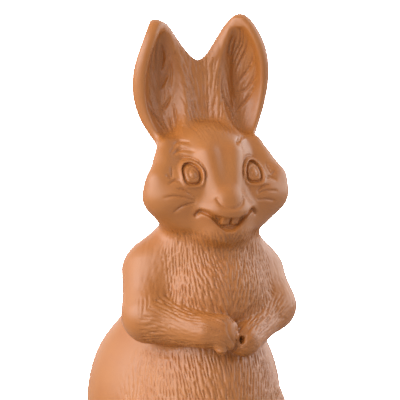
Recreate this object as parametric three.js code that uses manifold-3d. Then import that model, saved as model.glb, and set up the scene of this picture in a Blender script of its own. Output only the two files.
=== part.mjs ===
// A moulded milk-chocolate rabbit, sitting up with its paws folded on its belly.
// It is one solid piece: trunk, head, arms, feet and tail are lumps that melt into each other,
// and the two cupped ears grow out of the crown, joined by a web.
//
// Units are millimetres, +Z up. The rabbit looks along -Y, and its own right side is -X.
// The origin is on the table, under the middle of the figure.
import * as THREE from "three";
import { ParametricGeometry } from "three/addons/geometries/ParametricGeometry.js";
import { mergeVertices } from "three/addons/utils/BufferGeometryUtils.js";
import Module from "manifold-3d";

const wasm = await Module();
wasm.setup();

const { clamp, degToRad, lerp, smoothstep } = THREE.MathUtils;

// ---------------------------------------------------------------- driving sizes

const BASE_Z = 0; // the flat underside
const HEAD_CENTRE = { y: -7, z: 170 };
const TRUNK_LEAN = 16; // how far behind the origin the trunk's axis starts, at the base

const MELT = 9; // how softly one lump of the trunk or skull runs into the next
const SNUG = 6;
const CREASE = 3; // the tighter run where an arm lies on the trunk

const EYE = {
  x: 16.5,
  z: 172.3,
  halfWidth: 5.4, // out to the crest of its lids
  above: 6.4,
  below: 5.7,
  ringAt: 0.87, // its groove and ball are shares of these
  ring: 0.2,
  groove: 1.3,
  ball: 1.3,
};
const MOUTH = { halfWidth: 1.7, depth: 1.8 };

const EAR = {
  foot: 182,
  top: 249.3,
  leafStart: 176, // the leaf that its outline follows would start and end at these heights
  leafEnd: 246.5,
  leafSkew: 1.22, // above 1 the leaf is widest above its middle
  leafFull: 0.62, // below 1 it is fuller than an arch
  half: 12.2, // half the leaf, where it is widest
  edge: 3.3, // the ear is this much wider than the leaf on each side
  shoulder: 235, // above this height its tip is rounded
  point: 3.16, // half the tip's width, for each root of a millimetre below the top
  straightAt: 205.6, // height where the ear faces straight ahead
  twist: degToRad(0.95), // for each millimetre above that, it turns inwards by this much
  rim: 4.6, // how wide and round the rim is
  back: 8, // how far the back is arched, low down
  backTop: 3, // and towards the tip
  cup: 8, // how deep the open front is hollowed, between these heights
  cupFoot: 184,
  cupTop: 243,
  deepest: -0.1, // where the hollow is deepest, as a share of the half-width outwards
  shorter: 1.031, // the rabbit's right ear is this much shorter than its left
};

const WEB = { halfWidth: 17, bottom: 180, valley: 224.2, valleyX: 1.2, slope: 1.42, round: 4.9 };

// ---------------------------------------------------------------- lumps

// A lump is an ellipsoid: its centre x, y, z, its half-sizes, and its lean about the X axis in degrees.
const lump = (x, y, z, halfX, halfY, halfZ, lean = 0) => ({
  centre: new THREE.Vector3(x, y, z),
  half: new THREE.Vector3(halfX, halfY, halfZ),
  unlean: new THREE.Matrix3().setFromMatrix4(new THREE.Matrix4().makeRotationX(-degToRad(lean))),
});

const pair = (x, ...rest) => [lump(x, ...rest), lump(-x, ...rest)];

// A limb is a tapered rod from one round end to the other.
const limb = (from, to, fromRadius, toRadius) => ({
  from: new THREE.Vector3(...from),
  along: new THREE.Vector3(...to).sub(new THREE.Vector3(...from)),
  fromRadius,
  toRadius,
});

const trunk = [
  lump(0, 6, 48, 38, 43, 60), // belly
  lump(0, -1, 109, 31.5, 33, 32), // chest
  lump(0, 3, 127, 33, 20, 15), // shoulders
  lump(0, 0, 137, 27, 22.5, 16), // neck
  lump(0, 26, 78, 33, 30, 50), // back
  lump(0, 34, 38, 40, 35, 50), // rump
  ...pair(23, 30, 50, 27, 36, 47), // hips
];
const thighs = pair(25.5, 6, 36, 18.5, 37, 37, 8);
const tail = lump(0, 68, 27, 13.5, 13.5, 13.5);

const soles = pair(20.5, -27, 6, 12.5, 31, 13);
const toes = [
  ...pair(12.5, -50, 6, 5.6, 9, 8),
  ...pair(20.5, -53, 6, 6, 9, 8),
  ...pair(28.5, -49, 6, 5.6, 9, 8),
];

const upperArms = [
  limb([-28.3, 2.5, 122], [-34.8, -8.5, 103], 15, 12.2),
  limb([28, 1.5, 117.5], [31.5, -8.5, 104], 14.8, 11.5),
];
const forearms = [
  limb([-33.5, -10, 100], [-13, -32, 96], 11, 9), // the right one, which lies level
  limb([30.8, -9, 102.5], [7, -33, 90.5], 11, 8.5), // the left one, which runs down under it
];
const rightPaw = lump(-7, -36, 95.5, 9, 6.5, 9);
const rightFingers = [
  limb([-9, -37, 98], [-1.8, -38, 98.2], 3.4, 2.7),
  limb([-9, -37, 96], [-0.9, -38.5, 93.4], 3.4, 2.7),
  limb([-9, -37, 94], [-3.2, -38.5, 89.4], 3.4, 2.7),
  limb([-10, -37, 94], [-7.6, -38.5, 87.4], 3.4, 2.7),
];

const skull = [
  lump(0, 4, 168, 22.5, 25, 24), // back of the skull
  lump(0, -9, 174.5, 29, 9, 23, -33), // forehead, from temple to temple
  lump(0, -7, 178, 17, 14, 17, -33), // its middle, between the eyes
  lump(0, 14, 186, 18, 9, 20), // crown, behind the ears' web
  lump(0, -8, 150, 28, 20, 14), // jaw
  ...pair(20.5, -13, 161, 18, 12.5, 13.5), // cheeks
];
// Where the face turns into the side of the head, from the ear's root to the cheek.
const FACE_EDGE_RADIUS = 3;
const faceCorners = [[24.3, -5.5, 185], [26.3, -9.8, 177], [31.4, -14, 169.5], [31, -13.5, 163]];
const faceEdges = [-1, 1].flatMap((side) => {
  const corners = faceCorners.map(([x, y, z]) => [side * x, y, z]);
  return corners.slice(1).map((to, i) => limb(corners[i], to, FACE_EDGE_RADIUS, FACE_EDGE_RADIUS));
});
const bridge = [-1, 1].map((side) => limb([side * 2.6, -24.8, 159], [side * 6.2, -17.6, 181], 7, 5.2));
const muzzle = lump(0, -21, 154.5, 15.5, 14.5, 9.5);
const nose = lump(0, -28.8, 161, 6.6, 4.8, 4.8);
const lowerLip = lump(0, -21, 143.5, 14, 11, 8);

const outline = (...points) => new THREE.SplineCurve(points.map((point) => new THREE.Vector2(...point)));
const mouthLine = outline(
  [-15.6, 152.6], [-13.6, 154.4], [-9.2, 152.3], [-5.6, 148.6], [-2.4, 145.9], [0, 145.5],
  [2.4, 145.9], [5.6, 148.6], [9.2, 152.3], [13.6, 154.4], [15.6, 152.6],
).getPoints(40);

// ---------------------------------------------------------------- the field

const Y_AXIS = new THREE.Vector3(0, 1, 0);
const step = new THREE.Vector3();
const scaled = new THREE.Vector3();

// Distance from p to a lump's skin, negative inside: exact on the skin, close to it nearby.
function toLump(p, { centre, half, unlean }) {
  step.copy(p).sub(centre).applyMatrix3(unlean);
  const reach = scaled.copy(step).divide(half).length();
  const slope = scaled.divide(half).length();
  return slope > 1e-9 ? (reach * (reach - 1)) / slope : -Math.min(half.x, half.y, half.z);
}

// Distance from p to a limb's skin: to the nearest point of its axis, less the radius there.
function toLimb(p, { from, along, fromRadius, toRadius }) {
  step.copy(p).sub(from);
  const t = clamp(step.dot(along) / along.lengthSq(), 0, 1);
  return step.addScaledVector(along, -t).length() - lerp(fromRadius, toRadius, t);
}

// Two distances joined, with a fillet about k wide where they cross.
function melt(a, b, k) {
  const near = Math.max(k - Math.abs(a - b), 0);
  return Math.min(a, b) - (near * near) / (4 * k);
}

const meltLumps = (p, lumps, k, start = 1e3) => lumps.reduce((d, one) => melt(d, toLump(p, one), k), start);
const meltLimbs = (p, limbs, k, start = 1e3) => limbs.reduce((d, one) => melt(d, toLimb(p, one), k), start);

// A soft hump of height 1 where t is 0.
const bell = (t) => Math.exp(-t * t);

// Distance in the XZ plane from p to a bent line.
function toLine(p, points) {
  let best = Infinity;
  for (let i = 1; i < points.length; i++) {
    const ex = points[i].x - points[i - 1].x;
    const ez = points[i].y - points[i - 1].y;
    const qx = p.x - points[i - 1].x;
    const qz = p.z - points[i - 1].y;
    const t = clamp((qx * ex + qz * ez) / (ex * ex + ez * ez), 0, 1);
    best = Math.min(best, Math.hypot(qx - t * ex, qz - t * ez));
  }
  return best;
}

// How deep an eye is cut at p, by the radius round it, which is 1 on the crest of the lids:
// a groove round a domed ball.
function eyeCut(p) {
  const v = p.z - EYE.z;
  const square = v > 0 ? 2 : 2.7; // the lower lid is flatter
  const across = Math.abs((Math.abs(p.x) - EYE.x) / EYE.halfWidth) ** square;
  const upright = Math.abs(v / (v > 0 ? EYE.above : EYE.below)) ** square;
  const r = (across + upright) ** (1 / square);
  return EYE.groove * bell((r - EYE.ringAt) / EYE.ring) - EYE.ball * Math.max(1 - (r / EYE.ringAt) ** 2, 0);
}

// How deep the mouth is cut at p: a groove from corner to corner.
function mouthCut(p) {
  if (Math.abs(p.x) > 20 || p.z < 138 || p.z > 162) return 0;
  return MOUTH.depth * bell(toLine(p, mouthLine) / MOUTH.halfWidth);
}

function toBody(p) {
  const d = meltLumps(p, trunk, MELT);
  return p.z < 112 ? meltLumps(p, thighs, CREASE, d) : d;
}

function toHead(p) {
  let d = meltLimbs(p, faceEdges, MELT, meltLumps(p, skull, MELT));
  const face = meltLimbs(p, bridge, SNUG, meltLumps(p, [muzzle, lowerLip], SNUG));
  d = melt(d, face, CREASE);
  d = melt(d, toLump(p, nose), CREASE);
  return p.y < -8 ? d + eyeCut(p) + mouthCut(p) : d;
}

// Distance from p to the skin of trunk and head.
function toFigure(p) {
  const d = toBody(p);
  return p.z > 118 ? melt(d, toHead(p), 5) : d;
}

const WALK = { start: 110, steps: 90, share: 0.7, near: 0.01 };

// Where a ray from inside the figure finally leaves it: walked inwards from outside in steps of a share of
// the distance, so that it stops at the outermost skin.
function skinPoint(origin, direction, target) {
  let r = WALK.start;
  for (let i = 0; i < WALK.steps; i++) {
    const d = toFigure(target.copy(origin).addScaledVector(direction, r));
    if (Math.abs(d) < WALK.near) break;
    r -= WALK.share * d;
  }
  return target.copy(origin).addScaledVector(direction, Math.max(r, 1));
}

// ---------------------------------------------------------------- surfaces

// Runs from 0 to 1 as t does, with steps closer together round t = 0.5 by the share given.
const crowded = (t, share) => t + (share * Math.sin(2 * Math.PI * t)) / (2 * Math.PI);

const UNDERSIDE = 0.04; // share of the rows from the base's middle out to its edge
const NECK = { row: 0.3, z: 128 }; // rows are closer together above the neck, for the face
const CROWN = 0.9; // row at which the level rows end and the dome over the head starts
const origin = new THREE.Vector3();
const direction = new THREE.Vector3();

// The figure as rows round an upright axis. Rows first spread over the flat underside, then climb the
// trunk and the face as level rays, and close over the crown as a dome of rays.
function figureSurface(u, v, target) {
  const turn = 2 * Math.PI * crowded(u, 0.5); // u = 0.5 looks along -Y
  const onTrunk = clamp((v - UNDERSIDE) / (NECK.row - UNDERSIDE), 0, 1);
  const onHead = clamp((v - NECK.row) / (CROWN - NECK.row), 0, 1);
  const z = NECK.z * onTrunk + (HEAD_CENTRE.z + 14 - NECK.z) * onHead;
  const rise = (Math.PI / 2) * clamp((v - CROWN) / (1 - CROWN), 0, 1);
  const lean = smoothstep(z, 50, HEAD_CENTRE.z);
  origin.set(0, lerp(TRUNK_LEAN, HEAD_CENTRE.y, lean), z);
  direction.set(-Math.sin(turn) * Math.cos(rise), Math.cos(turn) * Math.cos(rise), Math.sin(rise));
  skinPoint(origin, direction, target);
  if (v < UNDERSIDE) target.lerp(origin, 1 - v / UNDERSIDE).setZ(BASE_Z);
}

// The line up the middle of the rabbit's left ear.
const earAxis = new THREE.CatmullRomCurve3(
  [
    [16.2, -1.8, 182], [18.2, 3, 191], [19.6, 5.8, 199], [20.5, 7.8, 207], [21.2, 8.8, 216],
    [21.9, 9.2, 225], [22.5, 9.6, 233], [22.7, 10.1, 241], [22.8, 10.6, 249.3],
  ].map((point) => new THREE.Vector3(...point)),
);

// Half an ear's width at a height: a leaf up to its shoulder, and a round tip above.
function earHalfWidth(height) {
  if (height > EAR.shoulder) return EAR.point * Math.sqrt(Math.max(EAR.top - height, 0));
  const leaf = ((height - EAR.leafStart) / (EAR.leafEnd - EAR.leafStart)) ** EAR.leafSkew;
  return EAR.half * Math.sin(Math.PI * leaf) ** EAR.leafFull + EAR.edge;
}

// How far an ear's front stands out at a place across it: a rim like a quarter of a rod, and inside it
// the cup, whose wall is steeper on the outer side.
function earFront(a, outer, height) {
  const rim = Math.min(EAR.rim, outer);
  const past = Math.max(Math.abs(a) - (outer - rim), 0);
  const share = clamp((height - EAR.cupFoot) / (EAR.cupTop - EAR.cupFoot), 0, 1);
  const across = a / Math.max(outer - EAR.rim, 0.4);
  const outwards = across > EAR.deepest;
  const far = (across - EAR.deepest) / (outwards ? 1 - EAR.deepest : 1 + EAR.deepest);
  const hollow = Math.max(1 - Math.abs(far) ** (outwards ? 2.8 : 2), 0);
  const depth = EAR.cup * Math.sin(Math.PI * share) ** 0.6;
  return Math.sqrt(Math.max(rim * rim - past * past, 0)) - depth * hollow;
}

// One ear as rings round its axis, turned inwards more and more up the ear.
function earSurface(side) {
  return (u, v, target) => {
    earAxis.getPoint(1 - (1 - v) ** 1.3, target);
    const height = target.z;
    const outer = earHalfWidth(height) * Math.sqrt(Math.min(v / 0.05, 1));
    const around = -side * 2 * Math.PI * u;
    const a = outer * Math.cos(around);
    const back = lerp(EAR.back, EAR.backTop, smoothstep(height, 212, 242));
    const behind = Math.min(back, 1.2 * outer) * Math.sin(around);
    const n = behind > 0 ? earFront(a, outer, height) : behind;
    const turn = (height - EAR.straightAt) * EAR.twist;
    target.x = side * (target.x + a * Math.cos(turn) - n * Math.sin(turn));
    target.y += -a * Math.sin(turn) - n * Math.cos(turn);
    if (side < 0) target.z = EAR.foot + (target.z - EAR.foot) / EAR.shorter;
  };
}

// The web that joins the ears: a slab round which the rows run, whose top dips in a V with a round
// bottom and whose face slopes forward to the forehead.
function webSurface(u, v, target) {
  const around = 2 * Math.PI * u;
  const x = WEB.halfWidth * Math.cos(around);
  const top = WEB.valley + WEB.slope * (Math.hypot(x - WEB.valleyX, WEB.round) - WEB.round);
  const z = lerp(WEB.bottom, top, v);
  const down = smoothstep(226 - z, 0, 28);
  const face = 9.3 - 3.8 * down;
  const back = 17.7 + 2.3 * down;
  const closing = Math.sqrt(1 - Math.abs(2 * v - 1) ** 8);
  target.set(x, (face + back) / 2 + ((back - face) / 2) * Math.sin(around) * closing, z);
}

// ---------------------------------------------------------------- solids

// A closed surface as a solid: seam and pole vertices are merged, and the faces that they collapse dropped.
function solid(geometry) {
  const bare = new THREE.BufferGeometry().setAttribute("position", geometry.getAttribute("position"));
  const merged = mergeVertices(bare.setIndex(geometry.getIndex()), 1e-3);
  const corners = merged.getIndex().array;
  const triVerts = [];
  for (let i = 0; i < corners.length; i += 3) {
    const [a, b, c] = corners.slice(i, i + 3);
    if (a !== b && b !== c && c !== a) triVerts.push(a, b, c);
  }
  const mesh = new wasm.Mesh({
    numProp: 3,
    vertProperties: merged.getAttribute("position").array,
    triVerts: new Uint32Array(triVerts),
  });
  return new wasm.Manifold(mesh);
}

function geometryOf(body) {
  const mesh = body.getMesh();
  return new THREE.BufferGeometry()
    .setAttribute("position", new THREE.BufferAttribute(mesh.vertProperties, 3))
    .setIndex(new THREE.BufferAttribute(mesh.triVerts, 1));
}

// A lump as a solid of its own.
function lumpSolid({ centre, half }, columns, rows) {
  const ball = new THREE.SphereGeometry(1, columns, rows).scale(half.x, half.y, half.z);
  return solid(ball.translate(centre.x, centre.y, centre.z));
}

// A limb as a solid of its own: a tapered rod with round ends, turned about its axis.
function limbSolid({ from, along, fromRadius, toRadius }, columns, capRows) {
  const length = along.length();
  const profile = [];
  for (let i = 0; i <= capRows; i++) {
    const angle = (Math.PI / 2) * (i / capRows);
    profile.push(new THREE.Vector2(fromRadius * Math.sin(angle), -fromRadius * Math.cos(angle)));
  }
  for (let i = 0; i <= capRows; i++) {
    const angle = (Math.PI / 2) * (i / capRows);
    profile.push(new THREE.Vector2(toRadius * Math.cos(angle), length + toRadius * Math.sin(angle)));
  }
  const turn = new THREE.Quaternion().setFromUnitVectors(Y_AXIS, along.clone().normalize());
  const rod = new THREE.LatheGeometry(profile, columns).applyQuaternion(turn);
  return solid(rod.translate(from.x, from.y, from.z));
}

const joined = (solids) => solids.reduce((body, one) => body.add(one));

const figure = solid(new ParametricGeometry(figureSurface, 48, 62));
const arms = joined([...upperArms, ...forearms].map((arm) => limbSolid(arm, 18, 5)));
const fingers = rightFingers.map((finger) => limbSolid(finger, 10, 3));
const paw = joined([lumpSolid(rightPaw, 14, 8), ...fingers]);
const feet = joined([
  ...soles.map((sole) => lumpSolid(sole, 16, 10)),
  ...toes.map((toe) => lumpSolid(toe, 9, 7)),
]);
const limbs = joined([arms, paw, feet, lumpSolid(tail, 14, 10)]);
const ears = [-1, 1].map((side) => solid(new ParametricGeometry(earSurface(side), 24, 19)));
const web = solid(new ParametricGeometry(webSurface, 20, 12));
const rabbit = joined([figure, limbs, web, ...ears]).trimByPlane([0, 0, 1], BASE_Z);

const geometry = geometryOf(rabbit);
geometry.computeBoundingBox();
const middle = geometry.boundingBox.getCenter(new THREE.Vector3());
geometry.translate(-middle.x, -middle.y, -geometry.boundingBox.min.z);
geometry.computeVertexNormals();

const milkChocolate = new THREE.MeshStandardMaterial({
  color: "#a5683c",
  roughness: 0.38,
  metalness: 0,
});
const bunny = new THREE.Mesh(geometry, milkChocolate);
bunny.name = "bunny";

const group = new THREE.Group();
group.add(bunny);
export default group;
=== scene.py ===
"""A moulded milk-chocolate rabbit, sitting up with its paws folded on its belly."""

import math

import bpy
import numpy as np
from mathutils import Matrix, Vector


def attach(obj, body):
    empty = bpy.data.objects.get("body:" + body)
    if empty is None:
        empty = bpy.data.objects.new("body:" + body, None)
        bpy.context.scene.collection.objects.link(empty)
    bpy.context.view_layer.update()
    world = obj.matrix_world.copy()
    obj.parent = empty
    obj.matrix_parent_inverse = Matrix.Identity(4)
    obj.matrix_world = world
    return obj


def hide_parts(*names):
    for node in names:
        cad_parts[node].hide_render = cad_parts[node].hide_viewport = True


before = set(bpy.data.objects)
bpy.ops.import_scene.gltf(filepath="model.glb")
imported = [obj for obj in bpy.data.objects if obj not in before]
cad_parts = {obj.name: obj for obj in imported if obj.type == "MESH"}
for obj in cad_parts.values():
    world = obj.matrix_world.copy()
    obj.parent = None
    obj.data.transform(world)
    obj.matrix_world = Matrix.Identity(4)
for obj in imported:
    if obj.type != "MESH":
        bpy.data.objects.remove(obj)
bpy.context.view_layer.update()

MM = 0.001  # the sculpting below is in millimetres, as the mould maker works; Blender is in metres

# ------------------------------------------------------------------ clay


def lump(x, y, z, half_x, half_y, half_z, tilt=0.0, lean=0.0):
    """An ellipsoid: centre and half-sizes, tilted forwards about X and leaned sideways about Y, in
    degrees."""
    a, b = math.radians(tilt), math.radians(lean)
    about_x = np.array([[1, 0, 0], [0, math.cos(a), -math.sin(a)], [0, math.sin(a), math.cos(a)]])
    about_y = np.array([[math.cos(b), 0, math.sin(b)], [0, 1, 0], [-math.sin(b), 0, math.cos(b)]])
    turn = (about_y @ about_x).astype(np.float32)
    return np.array([x, y, z], np.float32), np.array([half_x, half_y, half_z], np.float32), turn


def pair(x, y, z, half_x, half_y, half_z, tilt=0.0, lean=0.0):
    """A lump and its mirror image on the rabbit's other side."""
    return [
        lump(x, y, z, half_x, half_y, half_z, tilt, lean),
        lump(-x, y, z, half_x, half_y, half_z, tilt, -lean),
    ]


def to_lump(p, one):
    """Distance to an ellipsoid's skin: k (k - 1) / g, with k the scaled radius and g its slope."""
    centre, half, turn = one
    q = (p - centre) @ turn
    q /= half
    k = np.sqrt(np.einsum("ij,ij->i", q, q))
    q /= half
    g = np.sqrt(np.einsum("ij,ij->i", q, q))
    return k * (k - 1.0) / np.maximum(g, 1e-6)


def to_limb(p, start, end, start_radius, end_radius):
    """Distance to a tapered rod's skin: to the nearest point of its axis, less the radius there."""
    start = np.array(start, np.float32)
    along = np.array(end, np.float32) - start
    q = p - start
    t = np.clip(q @ along / (along @ along), 0, 1)
    q -= t[:, None] * along
    return np.sqrt(np.einsum("ij,ij->i", q, q)) - (start_radius + t * (end_radius - start_radius))


def melt(a, b, k):
    """Two distances joined, with a fillet about k wide: min(a, b) - max(k - |a - b|, 0)^2 / 4k."""
    near = np.maximum(k - np.abs(a - b), 0)
    return np.minimum(a, b) - near * near / (4 * k)


def carve(a, b, k):
    """The second shape cut out of the first, with a rounded edge about k wide."""
    return -melt(-a, b, k)


def melted(p, lumps, k):
    """Several lumps joined one after the other."""
    d = to_lump(p, lumps[0])
    for one in lumps[1:]:
        d = melt(d, to_lump(p, one), k)
    return d


def smooth_step(t):
    """0 below 0, 1 above 1, and 3t^2 - 2t^3 between."""
    t = np.clip(t, 0, 1)
    return t * t * (3 - 2 * t)


def bell(t):
    """A soft hump of height 1 at 0: exp(-t^2)."""
    return np.exp(-np.minimum(t * t, 30))


def curve(stations):
    """A polynomial through (height, value) stations, so that a size may change smoothly up the figure."""
    heights, values = np.array(stations, float).T
    fitted = np.polynomial.Polynomial.fit(heights, values, min(5, len(stations) - 1))
    return fitted.convert()


def bent_line(knots, t):
    """Points of a smooth line through a few points, at the shares t of each stretch between two of them:
    Catmull-Rom, with the line carried on straight past its ends."""
    padded = np.concatenate([2 * knots[:1] - knots[1:2], knots, 2 * knots[-1:] - knots[-2:-1]])
    before, here = -t + 2 * t**2 - t**3, 2 - 5 * t**2 + 3 * t**3
    after, beyond = t + 4 * t**2 - 3 * t**3, t**3 - t**2
    basis = 0.5 * np.stack([before, here, after, beyond])
    return np.concatenate([basis.T @ padded[i : i + 4] for i in range(len(knots) - 1)])


def along_path(x, z, path, spans=6):
    """Distance of points in a plane from a bent line through a few points, and the share of the line
    passed there; the line is cut into short straight spans."""
    knots = np.array(path, np.float32)
    line = np.concatenate([bent_line(knots, np.arange(spans) / spans), knots[-1:]]).astype(np.float32)
    best = np.full(len(x), 1e6, np.float32)
    share = np.zeros(len(x), np.float32)
    for i in range(len(line) - 1):
        ex, ez = line[i + 1] - line[i]
        qx, qz = x - line[i, 0], z - line[i, 1]
        s = np.clip((qx * ex + qz * ez) / (ex * ex + ez * ez), 0, 1)
        far = (qx - s * ex) ** 2 + (qz - s * ez) ** 2
        nearer = far < best
        best = np.where(nearer, far, best)
        share = np.where(nearer, (i + s) / (len(line) - 1), share)
    return np.sqrt(best), share


# ------------------------------------------------------------------ body

# How wide the fillet is where one form runs into the next.
MELT = 9.0  # trunk, shoulders and elbows
SKULL_MELT = 7.0
SNUG = 6.0  # muzzle and lower lip, skull and ears
NECK_MELT = 5.0
WEB_MELT = 5.0
FACE_MELT = 4.0
THIGH_MELT = 4.0
CREASE = 3.0  # tail, feet, armpits and nose
EARS_MELT = 2.0
PIT_EDGE = 2.0
TIGHT = 1.6  # paws and toes
FINGER_MELT = 1.2

# Heights between which forms count, so that the others are left out of the sums there.
LEGS_TO, FEET_TO = 112, 40
ARMS_FROM, ARMS_TO = 70, 152
HEAD_FROM, EARS_FROM = 118, 172

FOOT_EDGE = 2.0  # how round the edge of the flat underside is

TRUNK = [
    lump(0, 6, 48, 38, 43, 60),  # belly
    lump(0, -1, 109, 31.5, 33, 32),  # chest
    lump(0, 3, 127, 33, 20, 15),  # shoulders
    lump(0, 0, 137, 27, 22.5, 16),  # neck
    lump(0, 26, 78, 33, 30, 50),  # back
    lump(0, 34, 38, 40, 35, 50),  # rump
    *pair(23, 30, 50, 27, 36, 47),  # hips
]
THIGHS = pair(25.5, 6, 36, 18.5, 37, 37, 8)
TAIL = lump(0, 68, 27, 13.5, 13.5, 13.5)
UPPER_ARMS = [
    ((-28.3, 2.5, 122), (-34.8, -8.5, 103), 15, 12.2),
    ((28, 1.5, 117.5), (31.5, -8.5, 104), 14.8, 11.5),
]
FOREARMS = [
    ((-33.5, -10, 100), (-13, -32, 96), 11, 9),
    ((30.8, -9, 102.5), (7, -33, 90.5), 11, 8.5),
]
RIGHT_PAW = lump(-7, -36, 95.5, 9, 6.5, 9)
RIGHT_FINGERS = [
    ((-9, -37, 98), (-1.8, -38, 98.2), 3.4, 2.7),
    ((-9, -37, 96), (-0.9, -38.5, 93.4), 3.4, 2.7),
    ((-9, -37, 94), (-3.2, -38.5, 89.4), 3.4, 2.7),
    ((-10, -37, 94), (-7.6, -38.5, 87.4), 3.4, 2.7),
]
PIT = lump(3.2, -38.5, 91.5, 1.0, 2.8, 1.7)  # between the paws
FOOT_SOLES = pair(20.5, -27, 6, 12.5, 31, 13)
TOE_PLACES = [(12.5, -50, 5.6), (20.5, -53, 6), (28.5, -49, 5.6)]  # x, y and half-width
TOES = [toe for x, y, half in TOE_PLACES for toe in pair(x, y, 6, half, 9, 8)]


def to_body(p):
    """Trunk, limbs and tail: soft lumps melted together, the arms laid on with a tighter crease."""
    d = melted(p, TRUNK, MELT)
    z = p[:, 2]
    low = z < LEGS_TO
    q = p[low]
    e = d[low]
    for one in THIGHS:
        e = melt(e, to_lump(q, one), THIGH_MELT)
    e = melt(e, to_lump(q, TAIL), CREASE)
    d[low] = e
    foot = z < FEET_TO
    q = p[foot]
    e = d[foot]
    sole = np.full(len(q), 1e3, np.float32)
    for one in FOOT_SOLES:
        sole = melt(sole, to_lump(q, one), CREASE)
    for one in TOES:
        sole = melt(sole, to_lump(q, one), TIGHT)
    d[foot] = melt(e, sole, CREASE)
    arm = (z > ARMS_FROM) & (z < ARMS_TO)
    q = p[arm]
    e = d[arm]
    armpit = CREASE + (MELT - CREASE) * smooth_step((q[:, 2] - 104) / 24)  # softer towards the shoulder
    for one in UPPER_ARMS:
        e = melt(e, to_limb(q, *one), armpit)
    elbow = smooth_step((np.abs(q[:, 0]) - 16) / 16)  # 0 at the paws, 1 at the elbows
    for one in FOREARMS:
        e = melt(e, to_limb(q, *one), TIGHT + (MELT - TIGHT) * elbow)
    e = melt(e, to_paw(q), TIGHT)
    e = carve(e, to_lump(q, PIT), PIT_EDGE)
    d[arm] = e
    return d


def to_paw(p):
    """The right paw: a mitten with four fingers lying along its edge."""
    d = to_lump(p, RIGHT_PAW)
    for finger in RIGHT_FINGERS:
        d = melt(d, to_limb(p, *finger), FINGER_MELT)
    return d


# ------------------------------------------------------------------ head

SKULL = [
    lump(0, 4, 168, 22.5, 25, 24),  # back of the skull
    lump(0, -9, 174.5, 29, 9, 23, -33),  # forehead, from temple to temple
    lump(0, -7, 178, 17, 14, 17, -33),  # its middle, between the eyes
    lump(0, 14, 186, 18, 9, 20),  # crown, behind the ears' web
    lump(0, -8, 150, 28, 20, 14),  # jaw
    *pair(20.5, -13, 161, 18, 12.5, 13.5),  # cheeks
]
# Where the face turns into the side of the head, from the ear's root to the cheek.
FACE_EDGE = [(24.3, -5.5, 185), (26.3, -9.8, 177), (31.4, -14.0, 169.5), (31.0, -13.5, 163)]
FACE_EDGE_RADIUS = 3.0
BRIDGE = [((side * 2.6, -24.8, 159), (side * 6.2, -17.6, 181), 7.0, 5.2) for side in (-1, 1)]
MUZZLE = lump(0, -21, 154.5, 15.5, 14.5, 9.5)
NOSE = lump(0, -28.8, 161.0, 6.6, 4.8, 4.8)
NOSE_LINE = [(-6.8, 160.6), (-5.0, 157.6), (0, 155.8), (5.0, 157.6), (6.8, 160.6)]
LOWER_LIP = lump(0, -21, 143.5, 14, 11, 8)

FACE_FROM_Y = -8.0  # eyes and mouth are worked into the skin in front of this
EYE_X, EYE_Z = 16.5, 172.3
LID_HALF_WIDTH, LID_ABOVE, LID_BELOW = 4.8, 5.7, 5.4
# Each form of an eye: how far it stands out or is cut, where, as a share of the lids' radius, how wide.
BALL_HIGH, BALL_EDGE = 1.4, 0.8
GROOVE_DEEP, GROOVE_AT, GROOVE_WIDE = 0.7, 0.87, 0.11
LID_HIGH, LID_AT, LID_WIDE = 0.7, 1.1, 0.16
FOLD_DEEP, FOLD_AT, FOLD_WIDE = 0.6, 1.36, 0.1
OUTER_GROOVE_DEEPER, UPPER_LID_HIGHER = 0.4, 0.5

MOUTH_SIDE = [(-15.6, 152.6), (-13.6, 154.4), (-9.2, 152.3), (-5.6, 148.6), (-2.4, 145.9), (0, 145.5)]
MOUTH_LINE = MOUTH_SIDE + [(-x, z) for x, z in MOUTH_SIDE[-2::-1]]
MOUTH_DEEP, MOUTH_HALF_WIDTH = 2.2, 1.0  # of the groove along that line
UPPER_LIP, UPPER_LIP_CURVE = 151.8, 0.024  # z in the middle, and how it rises: this times x squared
MOUTH_FLOOR, MOUTH_FLOOR_CURVE = 145.2, 0.105
# The two teeth: x of their middles, half their width, z of their lower edges, and how far they stand out.
TOOTH_X, TOOTH_HALF_WIDTH, TOOTH_FOOT, TOOTH_HIGH = 2.55, 2.4, 147.2, 1.3
NOSE_LINE_DEEP, NOSE_LINE_HALF_WIDTH = 0.7, 0.9


def eyes(x, z):
    """How far the eyes are worked in, by the radius round each (1 on the crest of its lids): a domed ball,
    a groove round it, the lids, and a fold outside them towards the brow."""
    u = np.abs(x) - EYE_X
    v = z - EYE_Z
    square = np.where(v > 0, 2.0, 3.2)  # the lower lid is flatter
    upright = np.abs(v / np.where(v > 0, LID_ABOVE, LID_BELOW)) ** square
    r = (np.abs(u / LID_HALF_WIDTH) ** square + upright) ** (1 / square)
    ball = BALL_HIGH * np.maximum(1 - (r / BALL_EDGE) ** 2, 0) ** 0.6
    deep = GROOVE_DEEP + OUTER_GROOVE_DEEPER * smooth_step((u - 1) / 4)
    groove = deep * bell((r - GROOVE_AT) / GROOVE_WIDE)
    upper = smooth_step((v + 4) / 4)
    lids = (LID_HIGH + UPPER_LID_HIGHER * upper) * bell((r - LID_AT) / LID_WIDE)
    fold = FOLD_DEEP * bell((r - FOLD_AT) / FOLD_WIDE) * upper * smooth_step((6 - u) / 6)
    return groove + fold - ball - lids


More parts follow.
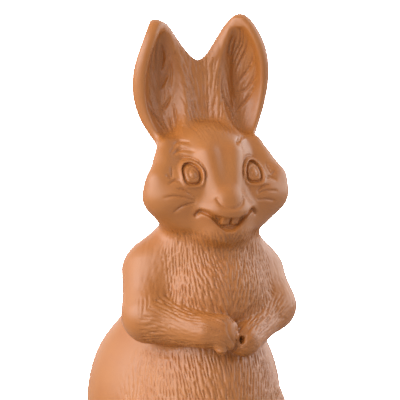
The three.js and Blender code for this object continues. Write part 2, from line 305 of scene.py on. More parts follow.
def to_head(p):
    """The head: skull, jaw and cheeks, a muzzle in front, and eyes, mouth and teeth worked into it."""
    d = melted(p, SKULL, SKULL_MELT)
    q = p.copy()
    q[:, 0] = np.abs(q[:, 0])
    for start, end in zip(FACE_EDGE, FACE_EDGE[1:]):
        d = melt(d, to_limb(q, start, end, FACE_EDGE_RADIUS, FACE_EDGE_RADIUS), SKULL_MELT)
    face = melt(to_lump(p, MUZZLE), to_lump(p, LOWER_LIP), SNUG)
    for one in BRIDGE:
        face = melt(face, to_limb(p, *one), FACE_MELT)
    d = melt(d, face, FACE_MELT)
    d = melt(d, to_lump(p, NOSE), CREASE)
    front = p[:, 1] < FACE_FROM_Y
    if front.any():
        x, _, z = p[front].T
        d[front] += eyes(x, z) + mouth(x, z)
    return d


def mouth(x, z):
    """How deep the mouth is cut: a groove from corner to corner, and a shallow pocket above it, in which
    two teeth hang from the upper lip; and the line under the nose."""
    cut = np.zeros_like(x)
    near = (np.abs(x) < 20) & (z > 140) & (z < 164)
    x, z = x[near], z[near]
    far, share = along_path(x, z, MOUTH_LINE)
    ends = np.minimum(1, 0.45 + 4 * np.minimum(share, 1 - share))
    groove = MOUTH_DEEP * bell(far / MOUTH_HALF_WIDTH) * ends
    lip = UPPER_LIP + UPPER_LIP_CURVE * x * x
    line = MOUTH_FLOOR + MOUTH_FLOOR_CURVE * x * x
    pocket = MOUTH_DEEP * smooth_step((lip - z) / 0.9) * smooth_step((z - line) / 1.2)
    tooth_x = np.abs(np.abs(x) - TOOTH_X)
    tooth = smooth_step((TOOTH_HALF_WIDTH - tooth_x) / 0.7)
    tooth = tooth * smooth_step((z - TOOTH_FOOT - 0.1 * tooth_x**2) / 0.8)
    under_nose, _ = along_path(x, z, NOSE_LINE)
    opened = np.maximum(groove * (1 - 0.6 * tooth), pocket - TOOTH_HIGH * tooth * (lip > z))
    cut[near] = NOSE_LINE_DEEP * bell(under_nose / NOSE_LINE_HALF_WIDTH) + opened
    return cut


# ------------------------------------------------------------------ ears

EAR_FOOT, EAR_TOP = 182.0, 249.3
# The axis of the rabbit's left ear, by height: outwards, and backwards.
EAR_X = curve([(184, 16.4), (199, 19.6), (216, 21.2), (233, 22.5), (246, 22.8)])
EAR_Y = curve([(184, -0.7), (191, 3.0), (199, 5.8), (207, 7.8), (216, 8.8), (233, 9.6), (246, 10.4)])
EAR_LEAF, EAR_LEAF_TOP = 176.0, 246.5  # the leaf that its outline follows would start and end here
LEAF_SKEW = 1.22  # above 1: it is widest above its middle
LEAF_FULL = 0.62  # below 1: it is fuller than an arch
EAR_HALF = 12.2  # half the leaf, where it is widest
EAR_EDGE = 3.3  # the ear is this much wider than the leaf on each side
EAR_SHOULDER = 235.0  # above this height the tip is rounded off:
EAR_POINT = 3.16  # half its width is this times the root of the height that is left to the top
EAR_TWIST_AT = 205.6  # it faces straight ahead at this height,
EAR_TWIST = math.radians(0.95)  # and turns inwards by so much for each mm above
EAR_RIM = 4.6  # how wide and round the rim is, outside the cup
EAR_BACK, EAR_BACK_TOP = 8.0, 3.0  # how far the back is arched, low down and towards the tip
EAR_THINS_FROM, EAR_THINS_OVER = 212.0, 30.0  # the height where it starts to change, and over how much
EAR_ROUNDEST = 1.2  # the arch is never more than this times half the ear's width
EAR_CUP, EAR_CUP_FOOT, EAR_CUP_TOP = 8.0, 184.0, 243.0  # how deep the cup is, between which heights
CUP_FULL = 0.6  # below 1: it is deep over more of its height
EAR_CUP_EDGE = 1.4  # how round the edge between cup and rim is
EAR_DEEPEST = -0.1  # where the cup is deepest, as a share of its half-width outwards
INNER_WALL, OUTER_WALL = 2.0, 2.8  # the power that each wall of the cup rises with
SHORTER = 1.031  # the rabbit's right ear is this much shorter
THINNEST = 0.4  # widths are kept above this, so that nothing is divided by zero


def ear_plane(p, side):
    """Points in an ear's own section: how far across it outwards and how far in front of its axis, half
    the ear's width and half its cup's there, and their height up the ear."""
    z = p[:, 2]
    if side < 0:
        z = EAR_FOOT + (z - EAR_FOOT) * SHORTER
    h = np.clip(z, EAR_FOOT, EAR_TOP).astype(np.float64)
    leaf = np.clip((h - EAR_LEAF) / (EAR_LEAF_TOP - EAR_LEAF), 0, 1) ** LEAF_SKEW
    low = EAR_HALF * np.sin(np.pi * leaf) ** LEAF_FULL + EAR_EDGE
    outer = np.where(h > EAR_SHOULDER, EAR_POINT * np.sqrt(np.maximum(EAR_TOP - h, 0)), low)
    turn = (h - EAR_TWIST_AT) * EAR_TWIST
    qx = side * p[:, 0] - EAR_X(h)
    qy = p[:, 1] - EAR_Y(h)
    across = qx * np.cos(turn) - qy * np.sin(turn)
    front = -qx * np.sin(turn) - qy * np.cos(turn)
    return across, front, outer, np.maximum(outer - EAR_RIM, THINNEST), z


def to_ear(p, side):
    """Distance to an ear: a rounded slab with an arched back, and a cup cut into its front, with a rounded
    inner wall and a steeper outer one."""
    across, front, outer, half, z = ear_plane(p, side)
    rim = np.minimum(EAR_RIM, outer)
    ahead = np.hypot(np.maximum(np.abs(across) - (outer - rim), 0), front) - rim
    wide = np.maximum(outer, THINNEST)
    thinned = smooth_step((z - EAR_THINS_FROM) / EAR_THINS_OVER)
    deep = np.minimum(EAR_BACK - (EAR_BACK - EAR_BACK_TOP) * thinned, EAR_ROUNDEST * wide)
    k = np.hypot(across / wide, front / deep)
    behind = k * (k - 1) / np.maximum(np.hypot(across / wide**2, front / deep**2), 1e-6)
    d = np.where(front > 0, ahead, behind)
    inner = across / half < EAR_DEEPEST
    span = np.where(inner, 1 + EAR_DEEPEST, 1 - EAR_DEEPEST)
    v = np.minimum(np.abs(across / half - EAR_DEEPEST) / span, 2.0)
    power = np.where(inner, INNER_WALL, OUTER_WALL)
    up = np.clip((z - EAR_CUP_FOOT) / (EAR_CUP_TOP - EAR_CUP_FOOT), 0, 1)
    depth = EAR_CUP * np.maximum(np.sin(np.pi * up), 0) ** CUP_FULL
    slope = depth * power * v ** (power - 1) / (half * span)
    cup = (rim - depth * (1 - v**power) - front) / np.sqrt(1 + slope * slope)
    d = carve(d, cup, EAR_CUP_EDGE)
    over = np.abs(z - np.clip(z, EAR_FOOT, EAR_TOP))
    return (np.hypot(np.maximum(d, 0), over) + np.minimum(d, 0)).astype(np.float32)


WEB_VALLEY, WEB_VALLEY_X = 224.2, 1.2  # the lowest point of its top
WEB_SLOPE, WEB_VALLEY_ROUND = 1.42, 24.0  # how its top climbs to the ears, and how round the valley is
WEB_FACE, WEB_BACK = 9.3, 17.7  # y of its front and back, at the top
WEB_ROUND = 3.6  # radius of its edges
WEB_HALF_WIDTH = 14.0


def to_web(p):
    """Distance to the web that joins the ears: a slab whose top dips in a V with a round bottom, thinner
    towards its sides, where it runs into the backs of the ears."""
    x, y, z = p.T
    down = smooth_step((226 - z) / 28)
    face, back = WEB_FACE - 3.8 * down, WEB_BACK + 2.3 * down
    half = (back - face) / 2 * np.sqrt(np.maximum(1 - (x / 24) ** 2, 0.1))
    climb = np.sqrt((x - WEB_VALLEY_X) ** 2 + WEB_VALLEY_ROUND) - math.sqrt(WEB_VALLEY_ROUND)
    top = WEB_VALLEY - WEB_ROUND + WEB_SLOPE * climb
    a = (z - top) * 0.62
    b = np.abs(y - (face + back) / 2) - (half - WEB_ROUND)
    c = np.abs(x) - WEB_HALF_WIDTH
    out = np.sqrt(np.maximum(a, 0) ** 2 + np.maximum(b, 0) ** 2 + np.maximum(c, 0) ** 2)
    return out + np.minimum(np.maximum(np.maximum(a, b), c), 0) - WEB_ROUND


def to_rabbit(p):
    """Distance to the whole figure's skin, negative inside, before its fine relief."""
    d = to_body(p)
    z = p[:, 2]
    up = z > HEAD_FROM
    if up.any():
        q = p[up]
        head = to_head(q)
        crown = q[:, 2] > EARS_FROM
        if crown.any():
            c = q[crown]
            ears = melt(to_ear(c, 1), to_ear(c, -1), EARS_MELT)
            ears = melt(ears, to_web(c), WEB_MELT)
            head[crown] = melt(head[crown], ears, SNUG)
        d[up] = melt(d[up], head, NECK_MELT)
    return carve(d, z, FOOT_EDGE)


# ------------------------------------------------------------------ skin

CHUNK = 60000  # points worked out at a time, so that they stay in the cache
BLOCK_MARGIN = 1.25  # a block nearer to the skin than this, in its own size, is worked out in full
LONGEST_STEP = 0.5  # mm that a point moves at most in one round of settling
LEAST_SLOPE = 0.3
MOST_TRIANGLES = 196000


def in_chunks(function, p):
    """The function over many points, a stretch at a time."""
    return np.concatenate([function(p[i : i + CHUNK]) for i in range(0, len(p), CHUNK)])


def lattice_distances(function, low, high, h, coarse=4):
    """Distances on a lattice with spacing h: worked out point by point in the blocks near the skin, and
    once for each block elsewhere, where only the sign counts."""
    cells = np.ceil((np.array(high) - low) / (h * coarse)).astype(int)
    corner = np.stack(np.meshgrid(*[np.arange(n) for n in cells], indexing="ij"), -1).reshape(-1, 3)
    middle = low + (corner + 0.5) * h * coarse
    rough = in_chunks(function, middle.astype(np.float32))
    dense = rough.reshape(cells).repeat(coarse, 0).repeat(coarse, 1).repeat(coarse, 2)
    near = corner[np.abs(rough) < BLOCK_MARGIN * h * coarse]
    inner = np.stack(np.meshgrid(*[np.arange(coarse)] * 3, indexing="ij"), -1).reshape(-1, 3)
    fine = (near[:, None] * coarse + inner).reshape(-1, 3)
    dense[tuple(fine.T)] = in_chunks(function, (low + fine * h).astype(np.float32))
    return dense


def skin_of(dense, low, h):
    """Points and quads of the zero surface: one point in each lattice cell that the skin crosses, at the
    mean of its edge crossings, and one quad round each lattice edge that changes sign."""
    inside = dense < 0
    corners = [(i, j, k) for i in (0, 1) for j in (0, 1) for k in (0, 1)]
    n = np.array(dense.shape) - 1
    count = np.zeros(n, np.int8)
    for i, j, k in corners:
        count += inside[i : i + n[0], j : j + n[1], k : k + n[2]]
    cells = np.argwhere((count > 0) & (count < 8))
    value = [dense[tuple((cells + c).T)] for c in corners]
    total = np.zeros((len(cells), 3), np.float32)
    crossings = np.zeros(len(cells), np.float32)
    for a in range(8):
        for b in range(a + 1, 8):
            step = np.array(corners[b]) - corners[a]
            if abs(step).sum() != 1:
                continue
            crossed = (value[a] < 0) != (value[b] < 0)
            t = np.where(crossed, value[a] / np.where(crossed, value[a] - value[b], 1), 0)
            total += crossed[:, None] * (np.array(corners[a]) + t[:, None] * step)
            crossings += crossed
    points = low + (cells + total / crossings[:, None]) * h
    index = np.full(n, -1, np.int32)
    index[tuple(cells.T)] = np.arange(len(cells))
    quads = []
    for axis in range(3):
        u, v = (axis + 1) % 3, (axis + 2) % 3
        first = np.take(inside, np.arange(dense.shape[axis] - 1), axis)
        second = np.take(inside, np.arange(1, dense.shape[axis]), axis)
        edges = np.argwhere(first != second)
        edges = edges[(edges[:, u] > 0) & (edges[:, v] > 0) & (edges[:, u] < n[u]) & (edges[:, v] < n[v])]
        round_edge = []
        for du, dv in ((1, 1), (0, 1), (0, 0), (1, 0)):
            cell = edges.copy()
            cell[:, u] -= du
            cell[:, v] -= dv
            round_edge.append(index[tuple(cell.T)])
        quad = np.stack(round_edge, 1)
        out = first[tuple(edges.T)]
        quads.append(np.where(out[:, None], quad, quad[:, ::-1]))
    return points, np.concatenate(quads)


def slopes(function, p, step=0.05):
    """The field's value and unit slope at points, by differences."""
    value = in_chunks(function, p)
    slope = np.stack(
        [in_chunks(function, p + step * np.eye(3, dtype=np.float32)[i]) - value for i in range(3)], 1
    )
    length = np.linalg.norm(slope, axis=1)
    return value, slope / np.maximum(length, 1e-9)[:, None], length / step


def settle(function, p, rounds=2):
    """Points moved onto the zero surface along the slope."""
    for _ in range(rounds):
        value, normal, steepness = slopes(function, p)
        move = np.clip(value / np.maximum(steepness, LEAST_SLOPE), -LONGEST_STEP, LONGEST_STEP)
        p = p - move[:, None] * normal
    return p, normal


def mesh_object(name, points, quads):
    """A Blender object from points in metres and quads."""
    mesh = bpy.data.meshes.new(name)
    mesh.vertices.add(len(points))
    mesh.vertices.foreach_set("co", points.astype(np.float32).ravel())
    mesh.loops.add(quads.size)
    mesh.loops.foreach_set("vertex_index", quads.astype(np.int32).ravel())
    mesh.polygons.add(len(quads))
    mesh.polygons.foreach_set("loop_start", np.arange(0, quads.size, 4, dtype=np.int32))
    mesh.update(calc_edges=True)
    mesh.polygons.foreach_set("use_smooth", np.ones(len(quads), bool))
    made = bpy.data.objects.new(name, mesh)
    bpy.context.scene.collection.objects.link(made)
    return made


def thin_out(made, most):
    """Fewer faces where the skin is smooth: edges are collapsed until so many triangles are left."""
    count = 2 * len(made.data.polygons)
    if count > most:
        modifier = made.modifiers.new("thin out", "DECIMATE")
        modifier.ratio = most / count
        graph = bpy.context.evaluated_depsgraph_get()
        thinned = bpy.data.meshes.new_from_object(made.evaluated_get(graph))
        made.modifiers.clear()
        made.data = thinned


# ------------------------------------------------------------------ relief

GRAIN = 0.2  # mm between the samples of a relief map
BELL_REACH = 2.2  # a stroke is pressed in as far as this times its half-width
FAINTEST = 0.02  # mm; shallower strokes are left out
DRAWN_AT = np.arange(0, 1, 0.02)  # the shares of each stretch of a line at which it is pressed in


class Canvas:
    """A strip of the skin laid flat, on which strokes are cut and ridges raised: its corner in mm, its
    size in samples, and the depth cut and height raised at each sample."""

    def __init__(self, left, bottom, wide, high):
        self.corner = np.array([left, bottom])
        self.shape = (int(wide / GRAIN) + 2, int(high / GRAIN) + 2)
        self.cut = np.zeros(self.shape[0] * self.shape[1], np.float32)
        self.raised = np.zeros_like(self.cut)

    def press(self, layer, at, along, amount, half_width):
        """Presses points of strokes into a layer: each is a bell across the direction it runs in, and where
        two meet the stronger one counts."""
        across = np.stack([-along[:, 1], along[:, 0]], 1)
        reach = int(np.ceil(BELL_REACH * np.max(half_width) / GRAIN))
        for step in np.arange(-reach, reach + 1) * GRAIN:
            spot = np.rint((at + step * across - self.corner) / GRAIN).astype(int)
            inside = ((spot >= 0) & (spot < self.shape)).all(1)
            index = spot[inside] @ np.array([self.shape[1], 1])
            np.maximum.at(layer, index, (amount * bell(step / half_width)).astype(np.float32)[inside])

    def draw(self, path, depth, half_width, ends=0.6):
        """One line through a few points, tapered at its ends; a negative depth raises a ridge."""
        line = bent_line(np.array(path, float), DRAWN_AT)
        along = np.gradient(line, axis=0)
        along /= np.linalg.norm(along, axis=1)[:, None]
        share = np.linspace(0, 1, len(line))
        amount = abs(depth) * np.sin(np.pi * share) ** ends
        layer = self.cut if depth > 0 else self.raised
        self.press(layer, line, along, amount, np.full(len(line), half_width))

    def comb(self, spacing, row, length, depth, half_width, lean, keep, seed):
        """Rows of short strokes, staggered like fur: each starts near a grid point and runs down the strip,
        turned by the lean there towards +u, as deep as keep says; none is quite like the next."""
        random = np.random.default_rng(seed)
        size = np.array(self.shape) * GRAIN
        columns, rows = np.arange(int(size[0] / spacing) + 1), np.arange(int(size[1] / row) + 2)
        i, j = (grid.ravel() for grid in np.meshgrid(columns, rows, indexing="ij"))
        jitter = random.uniform(-0.3, 0.3, (2, len(i)))
        at = np.stack([(i + 0.5 * (j % 2) + jitter[0]) * spacing, (j + jitter[1]) * row], 1) + self.corner
        length = length * random.uniform(0.75, 1.25, len(i))
        depth = depth * random.uniform(0.7, 1.2, len(i)) * keep(at[:, 0], at[:, 1])
        half_width = half_width * random.uniform(0.85, 1.15, len(i))
        kept = depth > FAINTEST
        at, length, depth, half_width = at[kept], length[kept], depth[kept], half_width[kept]
        bend = random.uniform(-0.15, 0.15, len(at))
        steps = int(np.ceil(np.max(length) / (GRAIN * 0.8))) if len(at) else 0
        for k in range(steps):
            share = (k + 0.5) / steps
            angle = lean(at[:, 0], at[:, 1]) + bend * (2 * share - 1)
            along = np.stack([np.sin(angle), -np.cos(angle)], 1)
            # tapered at both ends, and fainter and finer towards the lower one
            amount = depth * math.sin(math.pi * share) ** 0.7 * (1 - 0.35 * share)
            self.press(self.cut, at, along, amount, half_width * (1 - 0.4 * share))
            at = at + along * (length / steps)[:, None]

    def height(self, u, v):
        """What the strip adds at points of it, interpolated between its samples; beyond its edge, what the
        edge has."""
        x = np.clip((u - self.corner[0]) / GRAIN, 0, self.shape[0] - 1.001)
        y = np.clip((v - self.corner[1]) / GRAIN, 0, self.shape[1] - 1.001)
        i, j = x.astype(int), y.astype(int)
        a, b = x - i, y - j
        total = (self.raised - self.cut).reshape(self.shape)
        low = total[i, j] * (1 - b) + total[i, j + 1] * b
        return low * (1 - a) + (total[i + 1, j] * (1 - b) + total[i + 1, j + 1] * b) * a


COAT_ROUND = 45.0  # the coat's strip is as wide as a cylinder of this radius is round
COAT_AXIS = 4.0  # y of that cylinder's axis
COAT_TOP = 152
ARM_ROUND = 12.0  # the same radius for the strip of an arm

# Heights up to and from which each strip counts.
COAT_TO, FACE_FROM, STRANDS_FROM = 150, 140, 186
WEB_FROM, WEB_X = 201, 15  # from this height up the face's strip is only on the web, this far out


def coat_lean(u, v):
    """Down the chest and belly, converging on the middle line: how far the strokes turn, in radians."""
    chest = smooth_step((v - 88) / 14)
    steep = 0.45 * chest * (1 - 0.7 * smooth_step((np.abs(u) - 16) / 18)) + 0.45 * (1 - chest)
    return -steep * np.tanh(u / (3.0 + 14.0 * (1 - chest)))


def coat_keep(u, v):
    """Where the coat is: all of the front, fading out at the sides, and fainter on the back."""
    side = smooth_step((np.where(v > 86, 60, 84) - np.abs(u)) / 28)
    return np.maximum(side, 0.35 * smooth_step((np.abs(u) - 105) / 20)) * smooth_step((v - 9) / 8)


def coat_strip():
    """The strip round the trunk: shorter strokes on the chest, and longer ones on the belly."""

    def on_chest(u, v):
        return coat_keep(u, v) * smooth_step((v - 84) / 6)

    def on_belly(u, v):
        return coat_keep(u, v) * smooth_step((90 - v) / 6)

    strip = Canvas(-math.pi * COAT_ROUND, 0, 2 * math.pi * COAT_ROUND, COAT_TOP)
    strip.comb(
        spacing=2.3, row=3.5, length=5.2, depth=0.95, half_width=0.54,
        lean=coat_lean, keep=on_chest, seed=1,
    )
    strip.comb(
        spacing=2.4, row=4.2, length=6.4, depth=0.95, half_width=0.55,
        lean=coat_lean, keep=on_belly, seed=2,
    )
    return strip


def sleeve(seed):
    """The strip for one arm: strokes run from the shoulder to the wrist."""

    def wavy(u, v):
        return 0.16 * np.sin(v / 5 + seed)

    def below_the_shoulder(u, v):
        return 0.25 + 0.75 * smooth_step((-v - 16) / 10)

    strip = Canvas(-math.pi * ARM_ROUND, -80, 2 * math.pi * ARM_ROUND, 90)
    strip.comb(
        spacing=2.3, row=4.0, length=6.2, depth=0.9, half_width=0.54,
        lean=wavy, keep=below_the_shoulder, seed=seed,
    )
    return strip


def on_arm(p, upper, fore):
    """Where points lie on an arm's strip: how far round it, and how far down it from the shoulder."""
    (shoulder, elbow, _, _), (bend, wrist, _, _) = upper, fore
    first = np.subtract(elbow, shoulder)
    second = np.subtract(wrist, bend)
    hinge = np.cross(first, second)
    hinge = hinge / np.linalg.norm(hinge)
    best = np.full(len(p), 1e6)
    u = np.zeros(len(p))
    v = np.zeros(len(p))
    passed = 0.0
    for start, along in ((shoulder, first), (bend, second)):
        long = np.linalg.norm(along)
        t = along / long
        q = p - np.array(start, float)
        s = np.clip(q @ t, 0, long)
        q = q - s[:, None] * t
        far = np.linalg.norm(q, axis=1)
        nearer = far < best
        best = np.where(nearer, far, best)
        u = np.where(nearer, np.arctan2(q @ np.cross(t, hinge), q @ hinge) * ARM_ROUND, u)
        v = np.where(nearer, -(passed + s), v)
        passed += long
    return u, v


# Lines of the face, as points in x and z.
WHISKERS = [
    [(-25.3, 165.7), (-21.6, 165.2), (-15.4, 160.7)],
    [(-32, 161.2), (-27, 162.3), (-21.8, 161.5), (-15.4, 159.4)],
    [(-26.5, 154.2), (-22.2, 157.2), (-15.7, 158.9)],
    [(16.6, 162.7), (19.7, 165.2), (23.9, 166)],
    [(16.9, 161.9), (21.5, 163.3), (28.8, 162.8)],
    [(16.6, 158.9), (21.5, 159), (27.2, 157.8)],
]
BROWS = [
    [(-24.2, 182.4), (-21.6, 184.6), (-19.2, 186)],
    [(-21.6, 185.2), (-18.2, 187.6), (-13.6, 187.6)],
    [(-23.2, 181.6), (-17, 184), (-12.6, 183)],
    [(8.1, 186), (12.9, 189.2)],
    [(10.5, 186.5), (16.4, 189.2)],
    [(12.8, 187), (18.1, 188.8)],
]
BROW_TUFTS = [
    [(-23, 183.4), (-19, 185.6), (-14.5, 185.4)],
    [(-22.4, 180.4), (-18, 182), (-14, 181.2)],
    [(9.5, 184.6), (14.6, 187.6), (18, 187.4)],
]
LEFT_LASHES = [
    [(25.2, 175.9), (26.7, 170.6)],
    [(29, 172.4), (26.2, 170.4)],
    [(29, 167.8), (25.3, 169.9), (22.9, 169.4)],
]
LASHES = [[(side * x, z) for x, z in lash] for side in (-1, 1) for lash in LEFT_LASHES]
# Each kind of line, with its depth (below 0 it is a ridge), its half-width and how fast its ends taper.
FACE_LINES = [
    (WHISKERS, 0.95, 0.42, 0.4),
    (BROWS, 0.6, 0.45, 0.4),
    (BROW_TUFTS, -0.8, 0.9, 0.6),
    (LASHES, 0.9, 0.5, 0.5),
]
PUPIL_IN, PUPIL_UP, PUPIL_HALF_WIDTH, PUPIL_HALF_HEIGHT = 0.3, 0.4, 2.0, 2.6


def face_strip():
    """The strip over the front of the head and the web between the ears: the lines of the face, a ring
    and a spot for each pupil, long strokes up the web and short ones at the hairline."""

    def fanned(u, v):
        return -np.arctan(0.035 * u) - 0.1 * np.sin(v / 6)

    def on_web(u, v):
        return smooth_step((v - 195) / 6) * smooth_step((15 - np.abs(u)) / 4)

    def hair_lean(u, v):
        return -np.arctan(0.05 * u)

    def hairline(u, v):
        above = smooth_step((v - 190 - 0.012 * u * u) / 3)
        return above * smooth_step((201 - v) / 5) * smooth_step((19 - np.abs(u)) / 5)

    strip = Canvas(-40, 138, 80, 92)
    for paths, depth, half_width, ends in FACE_LINES:
        for path in paths:
            strip.draw(path, depth, half_width, ends)
    angles = np.linspace(0, 2 * math.pi, 13)
    for side in (-1, 1):
        x, z = side * (EYE_X - PUPIL_IN), EYE_Z + PUPIL_UP
        ring = [(x + PUPIL_HALF_WIDTH * math.cos(a), z + PUPIL_HALF_HEIGHT * math.sin(a)) for a in angles]
        strip.draw(ring, 0.5, 0.35, 0.05)
        strip.draw([(x, z - 0.6), (x, z + 0.6)], -0.5, 0.7, 0.3)
    strip.comb(
        spacing=2.3, row=6.5, length=10.0, depth=0.75, half_width=0.5,
        lean=fanned, keep=on_web, seed=5,
    )
    strip.comb(
        spacing=1.6, row=2.6, length=3.2, depth=0.4, half_width=0.34,
        lean=hair_lean, keep=hairline, seed=6,
    )
    return strip


EAR_SPAN = 12.0  # half the width of a cup, on its strip
# Strands in each cup, as points in the share of its half-width outwards, and z; -1 is the rabbit's right.
EAR_STRANDS = {
    -1: [
        [(0.75, 236), (0.72, 229), (0.74, 221)],
        [(0.42, 238), (0.3, 229), (0.3, 220)],
        [(0.05, 238), (-0.05, 230), (0.0, 221)],
        [(-0.4, 234.5), (-0.42, 228), (-0.25, 221)],
        [(-0.62, 226), (-0.6, 220), (-0.45, 212)],
        [(0.85, 209.5), (0.69, 202.8), (0.4, 198), (0.2, 192.5)],
        [(0.0, 201.5), (-0.28, 205.3), (-0.46, 209.5)],
        [(-0.1, 212), (-0.3, 216), (-0.55, 221)],
        [(0.09, 199.5), (0.05, 195), (0.02, 190.5)],
        [(-0.35, 199), (-0.3, 194.5), (-0.25, 190)],
        [(-0.55, 205), (-0.6, 199), (-0.5, 193)],
    ],
    1: [
        [(-0.58, 238), (-0.62, 232), (-0.5, 227)],
        [(0.09, 242), (0.01, 235.9), (-0.26, 228.9), (-0.3, 223.5)],
        [(0.35, 241), (0.17, 234.5), (-0.1, 227.5), (-0.2, 221)],
        [(0.58, 239), (0.35, 232), (0.06, 225), (-0.1, 218.5)],
        [(0.76, 234), (0.66, 226.5), (0.3, 218), (0.05, 214)],
        [(0.8, 225), (0.7, 217), (0.43, 211), (-0.02, 209)],
        [(0.8, 215), (0.5, 205.5), (-0.04, 199.5)],
        [(-0.84, 214), (-0.79, 207.6), (-0.39, 201), (0.19, 194)],
        [(-0.3, 238), (-0.35, 232), (-0.42, 227)],
    ],
}


def ear_strip(side):
    """The strip in an ear's cup: its strands, and finer strokes between them."""

    def gathered(u, v):
        return 0.35 * np.tanh(-u / 6)

    def inside_the_cup(u, v):
        return smooth_step((11 - np.abs(u)) / 3) * smooth_step((v - 192) / 6) * smooth_step((240 - v) / 8)

    strip = Canvas(-14, 184, 28, 66)
    for strand in EAR_STRANDS[side]:
        strip.draw([(u * EAR_SPAN, z) for u, z in strand], 1.0, 0.6, 0.5)
    strip.comb(
        spacing=2.2, row=7.0, length=9.0, depth=0.35, half_width=0.4,
        lean=gathered, keep=inside_the_cup, seed=7 + side,
    )
    return strip


coat = coat_strip()
sleeves = [sleeve(3), sleeve(4)]
face = face_strip()
lobes = {side: ear_strip(side) for side in EAR_STRANDS}


def coat_relief(p, normal):
    """How far the coat stands out on the trunk, and a sleeve where the skin is an arm's."""
    z = p[:, 2].astype(np.float64)
    u = np.arctan2(p[:, 0], -(p[:, 1] - COAT_AXIS)) * COAT_ROUND
    under_jaw = smooth_step((146 - z) / 4)
    trunk = melted(p, TRUNK, MELT)
    height = coat.height(u, z) * under_jaw * smooth_step((normal[:, 2] + 0.9) / 0.2)
    for strip, upper, fore in zip(sleeves, UPPER_ARMS, FOREARMS):
        arm = np.minimum(to_limb(p, *upper), to_limb(p, *fore))
        share = smooth_step((trunk - arm) / 1.5 + 0.5)
        side = np.sign(upper[0][0])
        outer = smooth_step((0.9 - normal[:, 0] * side) / 0.5)
        height = height * (1 - share) + share * outer * strip.height(*on_arm(p, upper, fore))
    foot = (np.abs(p[:, 1] + 30) < 30) & (z < 20)
    return np.where(foot, 0, height)  # the feet are smooth


def relief(p, normal):
    """How far the skin stands out at points, by the strip that each lies on."""
    x, _, z = p.T.astype(np.float64)
    facing = smooth_step((-normal[:, 1] - 0.05) / 0.35)  # 1 where the skin faces the front
    total = np.zeros(len(p))
    body = z < COAT_TO
    total[body] = coat_relief(p[body], normal[body])
    front = z >= FACE_FROM
    between_ears = np.where(z[front] > WEB_FROM, np.abs(x[front]) < WEB_X, 1)
    total[front] += face.height(x[front], z[front]) * facing[front] * between_ears
    for side, lobe in lobes.items():
        ear = (z > STRANDS_FROM) & (side * x > 2)
        across, _, _, half, _ = ear_plane(p[ear], side)
        in_cup = smooth_step((1.0 - np.abs(across) / half) / 0.15) * facing[ear]
        total[ear] += lobe.height(across / half * EAR_SPAN, p[ear, 2]) * in_cup
    return total.astype(np.float32)


# ------------------------------------------------------------------ figure

SPACING = 0.5
LOW, HIGH = np.array([-58.0, -66.0, -3.0]), np.array([58.0, 84.0, 256.0])  # a box round the whole figure
dense = lattice_distances(to_rabbit, LOW, HIGH, SPACING)
points, quads = skin_of(dense, LOW, SPACING)
points, normals = settle(to_rabbit, points.astype(np.float32))
points = points + relief(points, normals)[:, None] * normals
middle_y = (points[:, 1].min() + points[:, 1].max()) / 2
home = np.array([0, -middle_y, 0])  # the frame's origin is half-way between the figure's front and back
rabbit = mesh_object("rabbit", (points + home) * MM, quads)
thin_out(rabbit, MOST_TRIANGLES)
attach(rabbit, "root")
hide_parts("bunny")

# ------------------------------------------------------------------ material

DEEP_BROWN, WARM_BROWN = "#a5632c", "#a96830"


def linear(hex_colour):
    """An sRGB hex colour as linear red, green, blue and alpha."""
    parts = [int(hex_colour[i : i + 2], 16) / 255 for i in (1, 3, 5)]
    return [c / 12.92 if c <= 0.04045 else ((c + 0.055) / 1.055) ** 2.4 for c in parts] + [1.0]


def feed(tree, node, **inputs):
    """For each named input of a node a value, or the socket that feeds it; i0 is the first input."""
    for name, value in inputs.items():
        socket = node.inputs[int(name[1:]) if name[1:].isdigit() else name.replace("_", " ")]
        if isinstance(value, bpy.types.NodeSocket):
            tree.links.new(value, socket)
        else:
            socket.default_value = value


def add(tree, kind, settings=None, **inputs):
    """A new node with its settings, and its inputs as above."""
    made = tree.nodes.new(kind)
    for name, value in (settings or {}).items():
        setattr(made, name, value)
    feed(tree, made, **inputs)
    return made


def new_material(name):
    """A material, its node tree and its surface shader."""
    made = bpy.data.materials.new(name)
    made.use_nodes = True
    return made, made.node_tree, made.node_tree.nodes["Principled BSDF"]


def milk_chocolate():
    """Milk chocolate as it comes out of a plastic mould: opaque warm brown with a soft satin gloss. The
    cocoa butter sets a little unevenly, which gives faint cloudy patches, slightly paler and duller, and
    the mould's fine grain breaks up the highlights."""
    chocolate, tree, shader = new_material("moulded milk chocolate")
    place = add(tree, "ShaderNodeTexCoord").outputs["Object"]
    clouds = add(tree, "ShaderNodeTexNoise", Vector=place, Scale=55.0, Detail=3.0, Roughness=0.55)
    grain = add(tree, "ShaderNodeTexNoise", Vector=place, Scale=1500.0, Detail=2.0, Roughness=0.6)
    spread = add(tree, "ShaderNodeMapRange", Value=clouds.outputs["Fac"], From_Min=0.35, From_Max=0.65)
    patch = spread.outputs["Result"]
    deep, warm = linear(DEEP_BROWN), linear(WARM_BROWN)
    tint = add(tree, "ShaderNodeMix", {"data_type": "RGBA"}, i0=patch, i6=deep, i7=warm)
    dull = add(tree, "ShaderNodeMapRange", Value=patch, To_Min=0.37, To_Max=0.43)
    tooth = add(tree, "ShaderNodeBump", Strength=0.15, Distance=0.0001, Height=grain.outputs["Fac"])
    feed(tree, shader, Base_Color=tint.outputs[2], Roughness=dull.outputs["Result"])
    feed(tree, shader, Normal=tooth.outputs["Normal"], IOR=1.5, Specular_IOR_Level=0.62)
    return chocolate


rabbit.data.materials.append(milk_chocolate())

# ------------------------------------------------------------------ camera and light

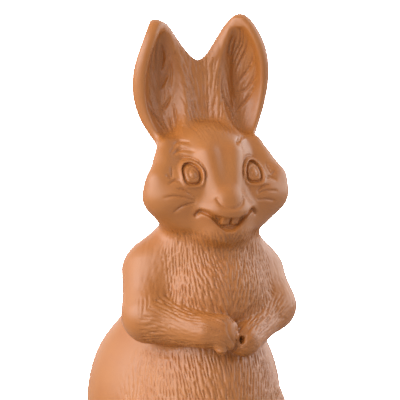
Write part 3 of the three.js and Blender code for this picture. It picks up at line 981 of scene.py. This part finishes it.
# The camera: how far it is turned from the figure's front and raised, how far away it is, the width that
# it sees there and the point of the figure that it looks at, in mm.
TURN, RISE, DISTANCE = math.radians(-22), math.radians(6), 1500.0
FRAME_WIDTH = 200.0
AIM = np.array([-2.8, 1.1, 156.9])
SENSOR = 36.0  # mm
SEES_TO = 10.0  # m

# The room is dim, with soft panels: each has its azimuth and rise from the figure, how far round them it
# reaches and where it is at its full strength, in degrees, and that strength.
ROOM = 0.55
PANELS = [
    (-70, 20, 42, 24, 4.2),  # from the picture's left and above
    (-106, 18, 42, 22, 2.0),  # and on round the side
    (86, 14, 42, 22, 3.2),  # from the picture's right
    (158, 10, 64, 30, 1.3),  # the backdrop
]
WHITE = 16.0  # how bright the backdrop and the floor are to the camera alone
FLOOR_REACH = 6.0  # m from the figure to the floor's edges
FLOOR_GREY, FLOOR_GLOW = "#aaaaaa", "#ffffff"


def direction(azimuth, rise):
    """The unit vector from the figure towards an azimuth, from its front to its left, and a rise."""
    return (math.sin(azimuth) * math.cos(rise), -math.cos(azimuth) * math.cos(rise), math.sin(rise))


def set_camera(home):
    """The photo's view: a long lens, a little to one side and a little above."""
    back = np.array(direction(TURN, RISE))
    data = bpy.data.cameras.new("camera")
    data.sensor_width = SENSOR
    data.lens = SENSOR * DISTANCE / FRAME_WIDTH
    data.clip_end = SEES_TO
    camera = bpy.data.objects.new("camera", data)
    camera.location = (AIM + home + DISTANCE * back) * MM
    camera.rotation_mode = "QUATERNION"
    camera.rotation_quaternion = Vector(-back).to_track_quat("-Z", "Y")
    bpy.context.scene.collection.objects.link(camera)
    bpy.context.scene.camera = camera


def light_the_room():
    """The sum of the room and its panels, each a smooth step of the cosine of the angle from its middle;
    the camera itself sees plain white."""
    world = bpy.data.worlds.new("world")
    bpy.context.scene.world = world
    world.use_nodes = True
    sky = world.node_tree
    look = add(sky, "ShaderNodeTexCoord").outputs["Generated"]
    lit = add(sky, "ShaderNodeValue").outputs[0]
    lit.default_value = ROOM
    for azimuth, rise, reach, full, strength in PANELS:
        towards = direction(math.radians(azimuth), math.radians(rise))
        near = add(sky, "ShaderNodeVectorMath", {"operation": "DOT_PRODUCT"}, i0=look, i1=towards)
        panel = add(
            sky, "ShaderNodeMapRange", {"interpolation_type": "SMOOTHSTEP"}, Value=near.outputs["Value"],
            From_Min=math.cos(math.radians(reach)), From_Max=math.cos(math.radians(full)), To_Max=strength,
        )
        sum_so_far = add(sky, "ShaderNodeMath", {"operation": "ADD"}, i0=lit, i1=panel.outputs["Result"])
        lit = sum_so_far.outputs["Value"]
    dim = add(sky, "ShaderNodeBackground", Strength=lit)
    bright = add(sky, "ShaderNodeBackground", Strength=WHITE)
    seen = add(sky, "ShaderNodeLightPath").outputs["Is Camera Ray"]
    mixed = add(sky, "ShaderNodeMixShader", i0=seen, i1=dim.outputs[0], i2=bright.outputs[0])
    feed(sky, sky.nodes["World Output"], Surface=mixed.outputs[0])


def pale_floor():
    """A wide pale floor: it throws a little light up at the figure, and is plain white to the camera."""
    far = FLOOR_REACH
    mesh = bpy.data.meshes.new("floor")
    mesh.from_pydata([(-far, -far, 0), (far, -far, 0), (far, far, 0), (-far, far, 0)], [], [(0, 1, 2, 3)])
    made = bpy.data.objects.new("floor", mesh)
    matt, tree, shader = new_material("pale_floor")
    seen = add(tree, "ShaderNodeLightPath").outputs["Is Camera Ray"]
    glow = add(tree, "ShaderNodeMapRange", Value=seen, To_Min=0.0, To_Max=WHITE).outputs["Result"]
    feed(tree, shader, Base_Color=linear(FLOOR_GREY), Roughness=0.7)
    feed(tree, shader, Emission_Color=linear(FLOOR_GLOW), Emission_Strength=glow)
    mesh.materials.append(matt)
    bpy.context.scene.collection.objects.link(made)
    return made


set_camera(home)
light_the_room()
floor = pale_floor()
bpy.context.scene.view_settings.view_transform = "Standard"
